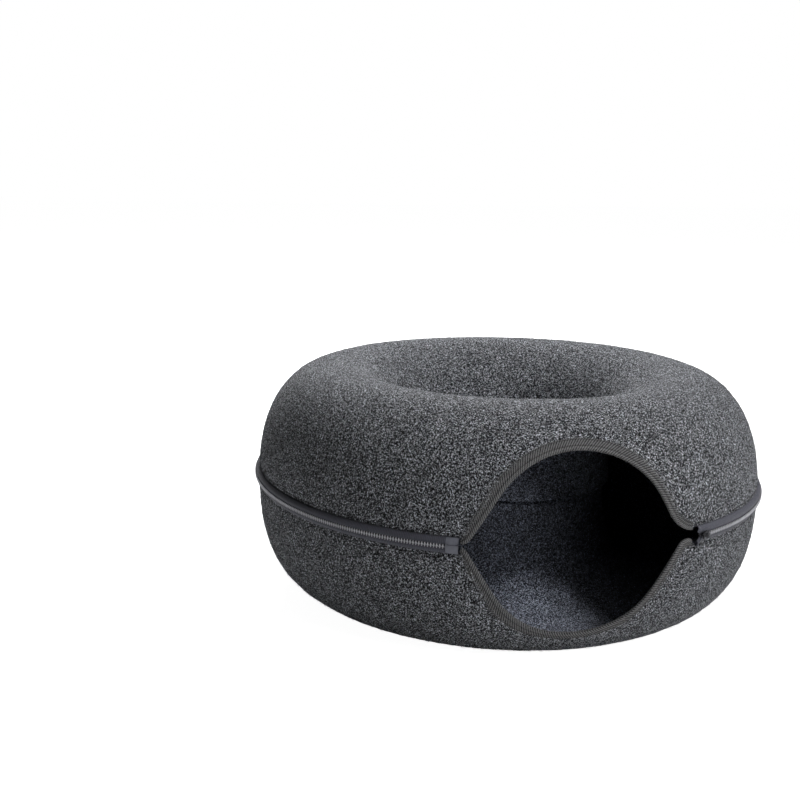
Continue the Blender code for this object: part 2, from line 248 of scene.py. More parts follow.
class CaveFinish(bpy.types.PropertyGroup):
    """Colours of the cloth, thread, nylon and metal."""

    felt_dark: colour("Dark fibres", "#08080a", "Black-dyed staple fibres of the felt")
    felt_middle: colour("Grey fibres", "#4a4c50", "Charcoal staple fibres of the felt")
    felt_light: colour("Light fibres", "#cacdd4", "Undyed and pale grey staple fibres")
    # Bluish copies of the felt's fibre colours for its inner face: painted shade, the cool dim
    # light inside the tunnel and the hole
    shaded_inner_dark: colour("Inner dark fibres", "#111216", "Black-dyed fibres of the inner face")
    shaded_inner_middle: colour("Inner grey fibres", "#444954", "Charcoal fibres of the inner face")
    shaded_inner_light: colour("Inner light fibres", "#a4aaba", "Pale fibres of the inner face")
    # Lightened, the yarn also gives the binding's painted highlights; darkened, the shade between
    # its ribs gives the painted shade in its grooves
    binding: colour("Binding", "#9a9a9b", "Yarn of the binding tape")
    binding_dark: colour("Binding shade", "#0e0e0f", "Between the ribs of the binding")
    tape: colour("Zip tape", "#6a6b78", "Yarn of the zip tape")
    coil: colour("Coil", "#e6e6ee", "Nylon of the coil")
    # Painted shade on the coil's back strands, not a colour of the nylon itself
    coil_back_shade: colour("Coil back", "#17171b", "Its strands that lie back against the tape")
    film: colour("End film", "#8e909c", "Melted nylon at the zip's end")
    metal: colour("Slider", "#38383c", "Lacquer on the slider")
    metal_worn: colour("Slider wear", "#8e8e94", "Where the slider's lacquer is rubbed")
    thread: colour("Thread", "#2d2d2f", "Sewing thread")
    fibres: IntProperty(name="Loose fibres", default=12000, description="On each half")


class CaveStage(bpy.types.PropertyGroup):
    """Camera and lights."""

    camera_place: FloatVectorProperty(name="Camera", default=(-0.3410, -1.2246, 0.4890),
                                      description="Where the camera stands", subtype="XYZ")
    camera_aim: FloatVectorProperty(name="Aim", default=(-0.1329, -0.0211, 0.2230),
                                    description="What the camera looks at", subtype="XYZ")
    camera_roll: turn("Roll", 0.86, "Turn of the camera about its line of sight")
    lens: number("Lens", 47.245, "Focal length in millimetres, on a 36 mm square sensor")
    front_light: number("Front light", 14.0, "Power of the light from the front right, in watts")
    high_light: number("High back light", 14.0, "Power of the high light behind the cave, in watts")
    top_light: number("Top light", 26.0, "Power of the overhead light, in watts")
    back_light: number("Back light", 34.0, "Power of the light from behind, in watts")
    floor_light: number("Floor light", 1.0, "Power of the lamp on the floor inside, in watts")
    wall_light: number("Wall light", 0.14, "Power of the lamp on the wall inside, in watts")
    surround: number("Surround", 0.03, "Strength of the light from all round")
    floor: colour("Floor", "#f2f2f2", "Matt painted board under the cave")
    floor_glow: number("Floor glow", 0.97, "Light that the board gives where it is looked at")


# Shapes ---------------------------------------------------------------------------------


def smooth(value):
    """Eases from 0 to 1."""
    value = np.clip(value, 0.0, 1.0)
    return value * value * (3 - 2 * value)


def hump(value, middle, width):
    """1 at the middle, falling off to 0 on both sides of it."""
    return np.exp(-((value - middle) / width) ** 2)


def unit(vectors):
    return vectors / np.linalg.norm(vectors, axis=-1, keepdims=True)


def facing_ray(angle):
    return np.stack((np.cos(angle), np.sin(angle)), axis=-1)


def distances(line):
    """Distance of each point along a line in the plane, from its first one."""
    return np.concatenate(([0.0], np.cumsum(np.hypot(*np.diff(line, axis=0).T))))


class Cave:
    """The ring's section as a line of points, with places on the felt worked out from it."""

    def __init__(self, scene):
        self.opening, self.zip, self.finish = scene.cave_opening, scene.cave_zip, scene.cave_finish
        self.edges = {half: getattr(scene, f"cave_{half}_edge") for half in HALVES}
        ring = self.ring = scene.cave_ring
        middle = (ring.outer_radius + ring.hole_radius) / 2
        half_width = (ring.outer_radius - ring.hole_radius) / 2
        angle = np.linspace(-PROFILE_TURN, PROFILE_TURN, PROFILE_SAMPLES)
        across, up = np.cos(angle), np.sin(angle)
        power = np.where(up > 0, ring.upper_fullness, ring.lower_fullness)
        above, below = ring.height - ring.middle_height, ring.middle_height + ring.settle
        reach = (np.abs(across) ** power + np.abs(up) ** power) ** (-1 / power)
        self.radius = middle + half_width * reach * across
        height = ring.middle_height + np.where(up > 0, above, below) * reach * up
        self.level = np.maximum(height, 0.0)
        slope = unit(np.stack((np.gradient(self.radius), np.gradient(self.level)), axis=-1))
        self.normal_r, self.normal_z = slope[:, 1], -slope[:, 0]
        arc = distances(np.stack((self.radius, self.level), axis=-1))
        front = np.abs(angle) < math.pi / 2
        self.arc = arc - np.interp(ring.zip_height, self.level[front], arc[front])
        self.crown = self.arc[np.argmax(self.level)]
        self.sole = self.arc[np.argmin(self.level)]

    def azimuth(self, along, rounds=0):
        """Azimuth of a place on the zip line, by its distance from the opening's middle."""
        return 2 * math.pi * rounds + along / self.ring.outer_radius

    def level_at(self, arc):
        return np.interp(arc, self.arc, self.level)

    def normal_at(self, arc):
        """How far the felt faces out from the ring's axis, and up."""
        return np.interp(arc, self.arc, self.normal_r), np.interp(arc, self.arc, self.normal_z)

    def place(self, azimuth, arc, lift):
        """Points at a lift out of the felt's outer surface."""
        azimuth, arc, lift = np.broadcast_arrays(azimuth, arc, lift)
        level = self.level_at(arc)
        rise = np.zeros_like(level)
        for height, times, ring_phase, turns, felt_phase in WAVES:
            rise += height * np.sin(times * azimuth + ring_phase) * np.cos(turns * arc + felt_phase)
        even = self.ring.even_below
        out = lift + rise * smooth((level - even) / even)
        normal_r, normal_z = self.normal_at(arc)
        radius = np.interp(arc, self.arc, self.radius) + out * normal_r
        return np.stack((radius * np.sin(azimuth), self.ring.axis_y - radius * np.cos(azimuth),
                         level + out * normal_z), axis=-1)

    def raw_edge(self, half):
        """Arc of the half's raw edge on the wall of the centre hole."""
        height = self.ring.skirt_end if half == "upper" else self.ring.wall_end
        inner = self.arc > self.crown if half == "upper" else self.arc < self.sole
        order = np.argsort(self.level[inner])
        return float(np.interp(height, self.level[inner][order], self.arc[inner][order]))

    def set_back(self, arc):
        """How far the upper half stands back towards the tunnel, near its raw edge."""
        ring = self.ring
        share = (ring.step_top - self.level_at(arc)) / (ring.step_top - ring.step_foot)
        return np.where(arc > self.crown, ring.skirt_step * smooth(share), 0.0)


def corner_run(edge, side, end_facing, step):
    """Edge from a corner to its round part, with the facing of its rays, as at the right."""
    lean, fillet, arc, height = (getattr(edge, side + field) for field in
                                 ("_lean", "_fillet", "_arc", "_height"))
    upright = facing_ray(lean)
    corner = np.array((arc - (edge.shift if side == "right" else -edge.shift), height))
    last = lean + math.acos(1 + (edge.radius - corner @ upright) / fillet)
    turned = np.linspace(last, lean, max(4, round((last - lean) * fillet / step) + 1))
    bend = corner + fillet * (facing_ray(last) - facing_ray(turned))
    ahead = edge.radius * upright - bend[-1]
    share = np.arange(step, np.linalg.norm(ahead) - step / 2, step) / np.linalg.norm(ahead)
    straight = bend[-1] + share[:, None] * ahead
    facing = lean + (end_facing - lean) * (turned - lean) / (last - lean)
    return np.concatenate((bend, straight)), np.concatenate((facing, np.full(len(share), lean)))


def opening_edge(cave, half, step):
    """Outside of the binding's fold, from the left corner to the right one.

    Gives points (arc along the zip line, height from it), rays into the felt, and the
    distance along the edge.
    """
    opening, edge = cave.opening, cave.edges[half]
    left, left_facing = corner_run(edge, "left", opening.left_facing, step)
    right, right_facing = corner_run(edge, "right", opening.right_facing, step)
    around = math.pi - edge.left_lean - edge.right_lean
    facing = math.pi - edge.left_lean - np.linspace(0, around, round(around * edge.radius / step))
    points = np.concatenate((left * (-1, 1), edge.radius * facing_ray(facing), right[::-1]))
    facing = np.concatenate((math.pi - left_facing, facing, right_facing[::-1]))
    return points + (edge.shift, 0.0), facing_ray(facing), distances(points)


def tape_reach(cave, half, gone):
    """How far each leg of the binding reaches into the felt from its cut edge."""
    distance, width = BINDING_WIDTHS[half]
    return MM * np.interp(gone / MM, distance, width) - cave.opening.fold


def thicken(path, thickness):
    """Closed outline of a strip's section, from its centre line."""
    steps = unit(np.diff(path, axis=0))
    before = np.concatenate((steps[:1], steps))
    across = unit((before + np.concatenate((steps, steps[-1:])))[:, ::-1] * (-1, 1))
    stretch = 1 / np.maximum((across * before[:, ::-1] * (-1, 1)).sum(axis=1), 0.5)
    offset = across * (stretch * thickness / 2)[:, None]
    return np.concatenate((path + offset, (path - offset)[::-1]))


def curved(path, count):
    """A smooth line through a few points, read at even steps."""
    path = np.asarray(path, float)
    before = np.concatenate((2 * path[:1] - path[1:2], path, 2 * path[-1:] - path[-2:-1]))
    knots = distances(path)
    wanted = np.linspace(0.0, knots[-1], count)
    span = np.clip(np.searchsorted(knots, wanted, side="right") - 1, 0, len(path) - 2)
    share = ((wanted - knots[span]) / np.diff(knots)[span])[:, None]
    p0, p1, p2, p3 = (before[span + shift] for shift in range(4))
    return p1 + share / 2 * (p2 - p0 + share * (2 * p0 - 5 * p1 + 4 * p2 - p3
                                                 + share * (3 * (p1 - p2) + p3 - p0)))


def new_piece(name, points, faces, finish, replaced=()):
    """A mesh object that rides on the cave, facing out and shaded smooth."""
    mesh = bpy.data.meshes.new(name)
    mesh.from_pydata(np.asarray(points).reshape(-1, 3).tolist(), [], faces)
    mesh.update()
    shape = bmesh.new()
    shape.from_mesh(mesh)
    if shape.calc_volume(signed=True) < 0:
        mesh.flip_normals()
    shape.free()
    mesh.shade_smooth()
    mesh.set_sharp_from_angle(angle=math.radians(48))
    mesh.materials.append(finish)
    piece = bpy.data.objects.new(name, mesh)
    bpy.context.scene.collection.objects.link(piece)
    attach(piece, "root")
    if replaced:
        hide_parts(*replaced)
    return piece


def grid_faces(grid, closed=False):
    """Quads of a body made of sections in order, each a closed outline, with end caps."""
    count, size = grid.shape[:2]
    near = np.arange(count if closed else count - 1)[:, None] * size
    far = (near + size) % (count * size)
    index = np.arange(size)
    after = (index + 1) % size
    quads = np.stack((near + index, near + after, far + after, far + index), axis=-1)
    faces = quads.reshape(-1, 4).tolist()
    if not closed:
        for base in (0, (count - 1) * size):
            for step in range(size // 2 - 1):
                other = base + size - 1 - step
                faces.append([base + step, base + step + 1, other - 1, other])
    return faces


def cloth_map(piece, along, across, name="Cloth"):
    """UV map in metres, along the strip and across it."""
    layer = piece.data.uv_layers.new(name=name)
    corners = np.empty(len(piece.data.loops), np.int32)
    piece.data.loops.foreach_get("vertex_index", corners)
    values = np.stack(np.broadcast_arrays(along[:, None], across), axis=-1).reshape(-1, 2)
    layer.data.foreach_set("uv", values[corners].ravel())


def stitch_piece(cave, name, azimuth, arc, lift, radius, thread):
    """Stitches as one piece, with a row of places for each."""
    many, rings = azimuth.shape
    centres = cave.place(azimuth, arc, lift)
    middle = (rings - 1) // 2
    outward = cave.place(azimuth, arc, 0.01)[:, middle] - centres[:, middle]
    ahead = unit(np.gradient(centres, axis=1))
    side = unit(np.cross(ahead, outward[:, None, :]))
    out = np.cross(side, ahead)
    angle = (2 * math.pi * np.arange(THREAD_SIDES) / THREAD_SIDES)[:, None]
    around = side[:, :, None] * np.cos(angle) + out[:, :, None] * np.sin(angle)
    thick = np.full(rings, radius)
    thick[[0, -1]] /= 2
    points = centres[:, :, None] + around * thick[:, None, None]
    one = np.array(grid_faces(points[0]))
    faces = (one + np.arange(many)[:, None, None] * rings * THREAD_SIDES).reshape(-1, 4).tolist()
    new_piece(name, points, faces, thread)


# Felt -----------------------------------------------------------------------------------


def shell_stations(cave, half):
    """Each station's azimuth, edge distance, stitch pull and reach of the binding."""
    zipper = cave.zip
    points, rays, gone = opening_edge(cave, half, EDGE_STEP)
    cut = points + cave.opening.fold * rays
    first, last = cave.azimuth(zipper.right_corner), cave.azimuth(zipper.left_corner, 1)
    stitches = round((last - first) * cave.ring.outer_radius / zipper.stitch)
    around = np.linspace(first, last, stitches * STATIONS_A_STITCH + 1)
    azimuth = np.concatenate((cave.azimuth(cut[:, 0]), around))
    distance = np.concatenate((cut[:, 1], np.full(len(around), zipper.felt_edge)))
    pulled = np.concatenate((np.zeros(len(cut)), np.arange(len(around)) % STATIONS_A_STITCH == 0))
    bound = np.concatenate((tape_reach(cave, half, gone), np.zeros(len(around))))
    return (each[:, None] for each in (azimuth, distance, pulled, bound))


def felt_rows(near, reach, count):
    """Distances from the cut edge: the near ones, then even steps to the raw edge."""
    far = np.linspace(0, 1, count + 1)[1:]
    return np.concatenate((near, near[:, -1:] + (reach - near[:, -1:]) * far), axis=1)


def felt_shell(cave, half, finishes):
    """One moulded half: outer face, raw edges and inner face, with the zip's stitch pulls."""
    opening, zipper, sign = cave.opening, cave.zip, HALVES[half]
    azimuth, distance, pulled, bound = shell_stations(cave, half)
    at_zip = bound == 0
    reach = abs(cave.raw_edge(half)) - distance
    near = np.where(at_zip, MM * np.array(ROWS_AT_ZIP),
                    bound * LEG_SHARES + MM * np.array(ROWS_PAST_LEG))
    outside = felt_rows(near, reach, FAR_ROWS_OUTSIDE)
    inside = felt_rows(MM * np.array(ROWS_INSIDE) + 0 * reach, reach, FAR_ROWS_INSIDE)[:, ::-1]
    arc_out, arc_in = sign * (distance + outside), sign * (distance + inside)
    lift_out = -cave.set_back(arc_out)
    lift_in = -cave.set_back(arc_in) - cave.ring.felt
    if half == "upper":
        lift_in -= SKIRT_CURL * smooth(1 - (reach - inside) / CURL_REACH)
        lift_out -= SKIRT_CURL * smooth(1 - (reach - outside) / CURL_REACH)
    # Stitches draw the felt down in a groove, deepest where the thread goes through
    seam = hump(outside, zipper.stitch_edge, SEAM_WIDTH)
    lift_out -= at_zip * seam * (SEAM_DEPTH + STITCH_PULL * pulled)
    lip = LIP_DROP * np.exp(-outside / LIP_REACH)
    lift_out -= lip
    arc_out += sign * at_zip * lip * pulled
    # Felt is pressed thin between the binding's legs, and eases out past them
    lift_out -= ~at_zip * opening.press_out * smooth((bound - outside) / 0.0014 + 0.9)
    lift_in += ~at_zip * opening.press_in * smooth((bound - inside) / 0.0060 + 1.0)
    points_out = cave.place(azimuth, arc_out, lift_out)
    points_out += lumps(cave, points_out, arc_out)
    grid = np.concatenate((points_out, cave.place(azimuth, arc_in, lift_in)), axis=1)
    faces, columns = grid_faces(grid, True), grid.shape[1]
    piece = new_piece("felt_" + half, grid, faces, finishes[0], (half + "_shell",))
    piece.data.materials.append(finishes[1])
    column = np.arange(len(faces)) % columns
    within = (column >= points_out.shape[1]) & (column < columns - 1)
    piece.data.polygons.foreach_set("material_index", within.astype(np.int32))
    return points_out


def lumps(cave, points, arc):
    """Small bumps of the felt's outer face, none where it rests."""
    flat = points.reshape(-1, 3)
    rise = np.zeros(len(flat))
    for height, width in LUMPS:
        rise += height * np.array([noise.noise(Vector(point) / width) for point in flat])
    rise = rise.reshape(arc.shape) * smooth(points[..., 2] / 0.006)
    normal_r, normal_z = cave.normal_at(arc)
    out = unit(points[..., :2] - np.array((0.0, cave.ring.axis_y)))
    away = np.concatenate((out * normal_r[..., None], normal_z[..., None]), axis=-1)
    return away * rise[..., None]


def loose_fibres(grid, count, seed, name, finish):
    """Thin bent spikes that stand a little out of the felt, as its staple fibres do."""
    draw = np.random.default_rng(seed)
    along = (np.roll(grid, -1, axis=0) - grid)[:, :-1]
    across = grid[:, 1:] - grid[:, :-1]
    normal = np.cross(along, across)
    area = np.linalg.norm(normal, axis=-1)
    normal /= np.maximum(area, 1e-12)[..., None]
    # None stands where the felt rests on the floor
    weight = (area * (grid[:, :-1, 2] > 0.004)).ravel()
    cell = draw.choice(weight.size, size=count, p=weight / weight.sum())
    row, column = np.unravel_index(cell, area.shape)
    first, second = draw.random((2, count, 1))
    root = grid[row, column] + first * along[row, column] + second * across[row, column]
    outward = normal[row, column]
    if float((outward * (root - grid.mean(axis=(0, 1)))).sum()) < 0:
        outward = -outward
    side = unit(np.cross(outward, draw.normal(size=(count, 3))))
    reach = draw.uniform(0.0030, 0.0075, (count, 1))
    stand = draw.uniform(0.08, 0.55, (count, 1)) ** 1.3
    bend = np.cross(outward, side) * draw.uniform(-0.4, 0.4, (count, 1))
    start = root - 0.0003 * outward
    middle = root + reach * (0.5 * side + 0.36 * stand * outward)
    tip = root + reach * (side + bend + 0.42 * stand * outward)
    thick = draw.uniform(0.00009, 0.00017, (count, 1))
    cross = np.cross(side, outward)
    corners = [thick * (math.cos(angle) * cross + math.sin(angle) * outward)
               for angle in (0.0, 2 * math.pi / 3, 4 * math.pi / 3)]
    rings = [start + corner for corner in corners] + [middle + 0.8 * corner for corner in corners]
    points = np.stack(rings + [tip], axis=1)
    one = [(0, 2, 1), (0, 1, 4, 3), (1, 2, 5, 4), (2, 0, 3, 5), (3, 4, 6), (4, 5, 6), (5, 3, 6)]
    faces = [[corner + 7 * fibre for corner in face] for fibre in range(count) for face in one]
    new_piece(name, points, faces, finish)


# Binding --------------------------------------------------------------------------------


def binding_path(opening):
    """Centre line of the folded tape: (distance into the felt, lift), outer leg first.

    Negative distances are out of the cut edge, round the fold.
    """
    depth = opening.fold - opening.binding / 2
    middle = (opening.outer_leg + opening.inner_leg) / 2
    half = (opening.outer_leg - opening.inner_leg) / 2
    outer = [(share * USUAL_REACH, opening.outer_leg) for share in np.linspace(1.0, 0.0, 17)]
    bend = [(-depth * math.sin(angle), middle + half * math.cos(angle))
            for angle in np.linspace(0, math.pi, 10)[1:-1]]
    inner = [(share * USUAL_REACH, opening.inner_leg) for share in np.linspace(0.0, 1.0, 4)]
    return np.array(outer + bend + inner)


def binding_strip(cave, half, finish):
    """The binding tape, with its twill ribs raised on the outer leg and round the fold."""
    opening = cave.opening
    points, rays, gone = opening_edge(cave, half, opening.rib / 3.6)
    path = binding_path(opening)
    outline = thicken(path, opening.binding)
    reach = tape_reach(cave, half, gone)[:, None]
    into = outline[:, 0] * np.where(outline[:, 0] > 0, reach / USUAL_REACH, 1.0)
    outer_face = np.arange(len(outline)) >= len(path)
    facing_out = outline[:, 1] > (opening.outer_leg + opening.inner_leg) / 2
    folded = np.minimum(outline[:, 0], 0.0) - np.where(facing_out, 0.0, 0.0030)
    from_fold = np.where(outline[:, 0] > 0, into, folded)
    phase = 2 * math.pi * (gone[:, None] - opening.slant * from_fold) / opening.rib
    rise = RIB_HEIGHT * np.cos(phase) * smooth((reach - from_fold) / 0.0009)
    relief = (
        # height, middle from the cut edge, width: the ridge, the groove, the sewn line
        (0.00022, 0.0011, 0.0006),
        (-0.00018, 0.0023, 0.0006),
        (-0.00022, reach - opening.stitch_edge, 0.0007),
    )
    for height, middle, width in relief:
        rise += height * hump(from_fold, middle, width)
    spots = points[:, None] + (opening.fold + into)[..., None] * rays[:, None]
    grid = cave.place(cave.azimuth(spots[..., 0]), HALVES[half] * spots[..., 1],
                      outline[:, 1] + outer_face * rise)
    piece = new_piece("binding_" + half, grid, grid_faces(grid), finish,
                      (half + "_binding",))
    cloth_map(piece, gone, from_fold)
    cloth_map(piece, gone, reach - from_fold, "Hem")


def binding_stitches(cave, half, thread):
    """Stitches that hold the binding, on its outer leg."""
    opening = cave.opening
    points, rays, gone = opening_edge(cave, half, 0.0004)
    starts = 0.002 + opening.stitch * np.arange(int((gone[-1] - 0.004) / opening.stitch))
    along = starts[:, None] + 0.66 * opening.stitch * np.linspace(0, 1, 6)
    into = opening.fold + tape_reach(cave, half, along) - opening.stitch_edge
    x, y = (np.interp(along, gone, points[:, axis]) + into * np.interp(along, gone, rays[:, axis])
            for axis in (0, 1))
    lift = opening.outer_leg + 0.00022 + 0.00034 * np.sin(np.linspace(0, math.pi, 6))
    stitch_piece(cave, "binding_stitches_" + half, cave.azimuth(x), HALVES[half] * y, lift,
                 0.00030, thread)


# Zip ------------------------------------------------------------------------------------


def zip_tape(cave, half, finish):
    """One zip tape, from the opening's right corner round to its left one."""
    radius, parting = cave.ring.outer_radius, cave.zip.parting
    first, last = cave.azimuth(cave.zip.right_end), cave.azimuth(cave.zip.left_end, 1)
    # Close sections where the tapes part, then even ones
    start = first + np.arange(0, 8 * MM, 0.8 * MM) / radius
    rest = np.linspace(first + 8 * MM / radius, last, round((last - first) * radius / 0.0026))
    azimuth = np.concatenate((start, rest))
    path = curved(TAPE_PATH, 23)
    outline = thicken(path, cave.zip.tape)
    across = distances(path)
    # The front of each tape parts from the other before the slider
    parted = smooth(1 - (azimuth - first) * radius / (6 * MM))[:, None]
    parted = parted * smooth((outline[:, 1] + 1.0 * MM) / (3.5 * MM))
    away = outline[:, 0] + parted * (parting if half == "upper" else 1.5 * parting)
    grid = cave.place(azimuth[:, None], HALVES[half] * away, outline[:, 1] + 0.4 * MM * parted)
    piece = new_piece("zip_tape_" + half, grid, grid_faces(grid), finish,
                      (half + "_zip_tape",))
    cloth_map(piece, azimuth * radius, np.concatenate((across, across[::-1])))


def coil_side(cave, side):
    """One side of the coil: a nylon thread wound flat, its turns reaching past the middle.

    Gives its points and faces, the distance of each section along the zip, and how far
    forward each point lies, from -1 to 1.
    """
    zipper, radius = cave.zip, cave.ring.outer_radius
    start = cave.azimuth(zipper.coil_end)
    turns = int(((2 * math.pi - start) * radius + zipper.left_end - 0.0105) / zipper.tooth)
    angle = np.linspace(0, 2 * math.pi * turns, turns * COIL_TURN_POINTS + 1)
    along = zipper.tooth * (angle / (2 * math.pi) + COIL_PHASES[side])
    wave = np.cos(angle)
    wave = np.sign(wave) * np.abs(wave) ** 0.7
    outer = zipper.coil_half_width - zipper.wire
    away = side * ((outer - COIL_PAST_MIDDLE) / 2 + (outer + COIL_PAST_MIDDLE) / 2 * wave)
    lift = zipper.coil_lift - side * (zipper.coil_half_height - zipper.wire) * np.sin(angle)
    azimuth = start + along / radius
    centres = cave.place(azimuth, away, lift)
    # The thread's own frame turns with the winding, so that it never twists
    ahead = unit(np.gradient(centres, axis=0))
    axis = np.stack((np.cos(azimuth), np.sin(azimuth), 0 * azimuth), axis=-1)
    first = unit(np.cross(ahead, axis))
    second = np.cross(ahead, first)
    around = (2 * math.pi * np.arange(COIL_SIDES) / COIL_SIDES)[:, None]
    grid = centres[:, None] + zipper.wire * (first[:, None] * np.cos(around)
                                             + second[:, None] * np.sin(around))
    front = np.repeat(-side * np.sin(angle)[:, None], COIL_SIDES, axis=1)
    return grid.reshape(-1, 3), grid_faces(grid), along, front


def zip_coil(cave, finish):
    """Both sides of the coil as one piece, mapped by length and by how far forward it is."""
    upper, upper_faces, *upper_map = coil_side(cave, 1)
    lower, lower_faces, *lower_map = coil_side(cave, -1)
    faces = upper_faces + [[corner + len(upper) for corner in face] for face in lower_faces]
    piece = new_piece("zip_coil_teeth", np.concatenate((upper, lower)), faces, finish,
                      ("zip_coil",))
    # The forward map says where the coil's painted shade goes
    cloth_map(piece, *(np.concatenate(pair) for pair in zip(upper_map, lower_map)))


def zip_stitches(cave, half, thread):
    """Stitches that hold a zip tape to the felt."""
    zipper = cave.zip
    first, last = cave.azimuth(zipper.right_corner), cave.azimuth(zipper.left_corner, 1)
    count = round((last - first) * cave.ring.outer_radius / zipper.stitch)
    nodes = np.linspace(first, last, count + 1)
    azimuth = nodes[:-1, None] + np.diff(nodes)[:, None] * np.linspace(0.10, 0.90, 7)
    arc = HALVES[half] * (zipper.felt_edge + zipper.stitch_edge)
    lift = -0.00075 + 0.00075 * np.sin(np.linspace(0, math.pi, 7)) ** 0.8
    stitch_piece(cave, "zip_stitches_" + half, azimuth, arc, lift, 0.00028, thread)


def end_films(cave, finish):
    """Thin plates of melted nylon over the left end of the coil and its tapes."""
    rows, columns, half_thickness = 9, 17, 0.0004
    inner_end, outer_end = cave.zip.left_end - 0.0122, cave.zip.left_end + 0.0003
    share = np.linspace(0, 1, rows)
    for name, top, foot, top_lift, foot_lift, corner in END_FILMS:
        height = np.linspace(top, foot, rows)
        lift = top_lift + (foot_lift - top_lift) * share + 0.0010 * np.sin(math.pi * share)
        drop = np.clip((foot + corner - height) / corner, 0.0, 1.0)
        short = corner * (1 - np.sqrt(1 - drop ** 2))
        along = inner_end + (outer_end - short - inner_end)[:, None] * np.linspace(0, 1, columns)
        # It thins out to nothing over the tape, and its free edge is rolled up
        sunk = 0.0009 * smooth(1 - (along - inner_end) / 0.0045)
        rolled = 0.0004 * smooth(1 - (outer_end - along) / 0.0014)
        face, back = (cave.place(cave.azimuth(along, 1), height[:, None],
                                 lift[:, None] + side * half_thickness - sunk + rolled)
                      for side in (1, -1))
        grid = np.concatenate((face, back[:, ::-1]), axis=1)
        new_piece(name, grid, grid_faces(grid), finish)


def rounded_plate(shape, outline, low, high, bevel):
    """Adds an extruded outline with softened edges to a bmesh."""
    start = len(shape.verts)
    face = shape.faces.new([shape.verts.new((x, y, low)) for x, y in outline])
    made = bmesh.ops.extrude_face_region(shape, geom=[face])
    top = [item for item in made["geom"] if isinstance(item, bmesh.types.BMVert)]
    bmesh.ops.translate(shape, vec=(0, 0, high - low), verts=top)
    shape.verts.ensure_lookup_table()
    mine = set(shape.verts[start:])
    edges = [edge for edge in shape.edges if set(edge.verts) <= mine]
    bmesh.ops.bevel(shape, geom=edges, offset=bevel, segments=2, affect="EDGES")


def slider(cave, finish):
    """Die-cast slider: shield-shaped plates, flanges, post and bridge, with no pull.

    It is drawn along +X with the opening behind it, +Z out of the felt.
    """
    shape = bmesh.new()
    front, shoulder, back = -0.0052, 0.0005, 0.0053
    wide, narrow, cut, wall = 0.0043, 0.0034, 0.0012, 0.0009
    one_side = ((front, wide - cut), (front + cut, wide), (shoulder, wide), (back, narrow))
    shield = [(x, -y) for x, y in one_side] + list(one_side[::-1])
    rounded_plate(shape, shield, 0.0060, 0.0072, 0.0003)
    rounded_plate(shape, [(x, y * 0.9) for x, y in shield], 0.0008, 0.0020, 0.0003)
    post = ((front, -0.0009), (front + 0.0022, -0.0004), (front + 0.0022, 0.0004), (front, 0.0009))
    rounded_plate(shape, post, 0.0015, 0.0065, 0.0002)
    for side in (-1, 1):
        flange = ((0.0004, side * wide), (back, side * narrow),
                  (back, side * (narrow - wall)), (0.0004, side * (wide - wall)))
        rounded_plate(shape, flange if side < 0 else flange[::-1], 0.0050, 0.0062, 0.0002)
    # The bridge that a pull would hang on: an arch over the outer plate
    angle = np.linspace(0, math.pi, 8)
    outer, inner = (np.stack((reach * np.cos(angle), 0.0070 + rise * np.sin(angle)), axis=-1)
                    for reach, rise in ((0.0032, 0.0021), (0.0022, 0.0011)))
    arch = np.concatenate((outer, inner[::-1]))
    corners = [shape.verts.new((x, side * 0.0011, z)) for side in (-1, 1) for x, z in arch]
    for quad in grid_faces(np.stack((arch, arch))):
        shape.faces.new([corners[corner] for corner in quad])
    bmesh.ops.recalc_face_normals(shape, faces=shape.faces)
    azimuth = cave.azimuth(cave.zip.slider_place)
    along = Vector((math.cos(azimuth), math.sin(azimuth), 0.0))
    out = Vector((math.sin(azimuth), -math.cos(azimuth), 0.0))
    seat = Matrix((along, Vector((0.0, 0.0, 1.0)), out)).transposed().to_4x4()
    seat.translation = cave.place(azimuth, 0.0, 0.0)
    bmesh.ops.transform(shape, matrix=seat, verts=shape.verts)
    points = [tuple(vertex.co) for vertex in shape.verts]
    shape.verts.index_update()
    faces = [[vertex.index for vertex in face.verts] for face in shape.faces]
    shape.free()
    new_piece("zip_slider_body", points, faces, finish, ("zip_slider",))


# Materials ------------------------------------------------------------------------------


def fill(tree, socket, value):
    """Feeds an input from another node's output, or sets it to a number or a colour."""
    if isinstance(value, bpy.types.NodeSocket):
        tree.links.new(value, socket)
    else:
        socket.default_value = value


def add(tree, kind, inputs=None, **settings):
    """Adds a node with its settings, and feeds its inputs."""
    node = tree.nodes.new(kind)
    for name, value in settings.items():
        setattr(node, name, value)
    for name, value in (inputs or {}).items():
        fill(tree, node.inputs[name], value)
    return node


def opaque(shade, strength=1.0):
    """A colour with its alpha, lightened or darkened."""
    return (*(min(1.0, strength * part) for part in shade), 1.0)


